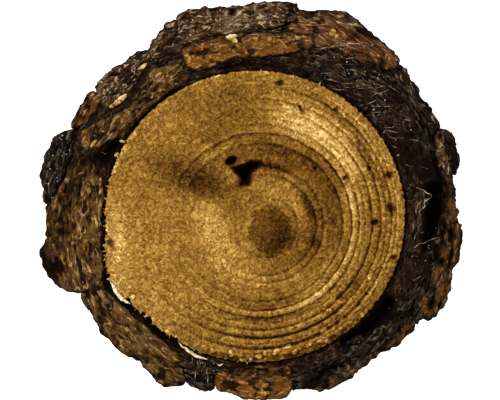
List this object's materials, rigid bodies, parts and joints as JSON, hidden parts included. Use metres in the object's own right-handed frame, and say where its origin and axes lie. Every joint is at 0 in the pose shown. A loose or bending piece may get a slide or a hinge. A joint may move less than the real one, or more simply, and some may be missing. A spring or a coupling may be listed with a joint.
{
  "type": "wood slice",
  "caption": "Round slice sawn across a small pine log, with growth rings, a rotted pocket near the pith and a thick ring of deeply cracked bark plates.",
  "frame": {"origin": "on the flat sawn underside, below the middle of the wood's outline", "axes": "+Z up along the log's axis, from the underside to the upper sawn face; +X to the right and +Y up as the picture shows that face"},
  "size_m": [0.1423, 0.1343, 0.022],
  "materials": {
    "wood": "raw sawn end grain, matt",
    "bark": "dry corky bark, matt and crumbly"
  },
  "bodies": {
    "root": {"wood": "wood", "bark": "bark"}
  },
  "joints": []
}
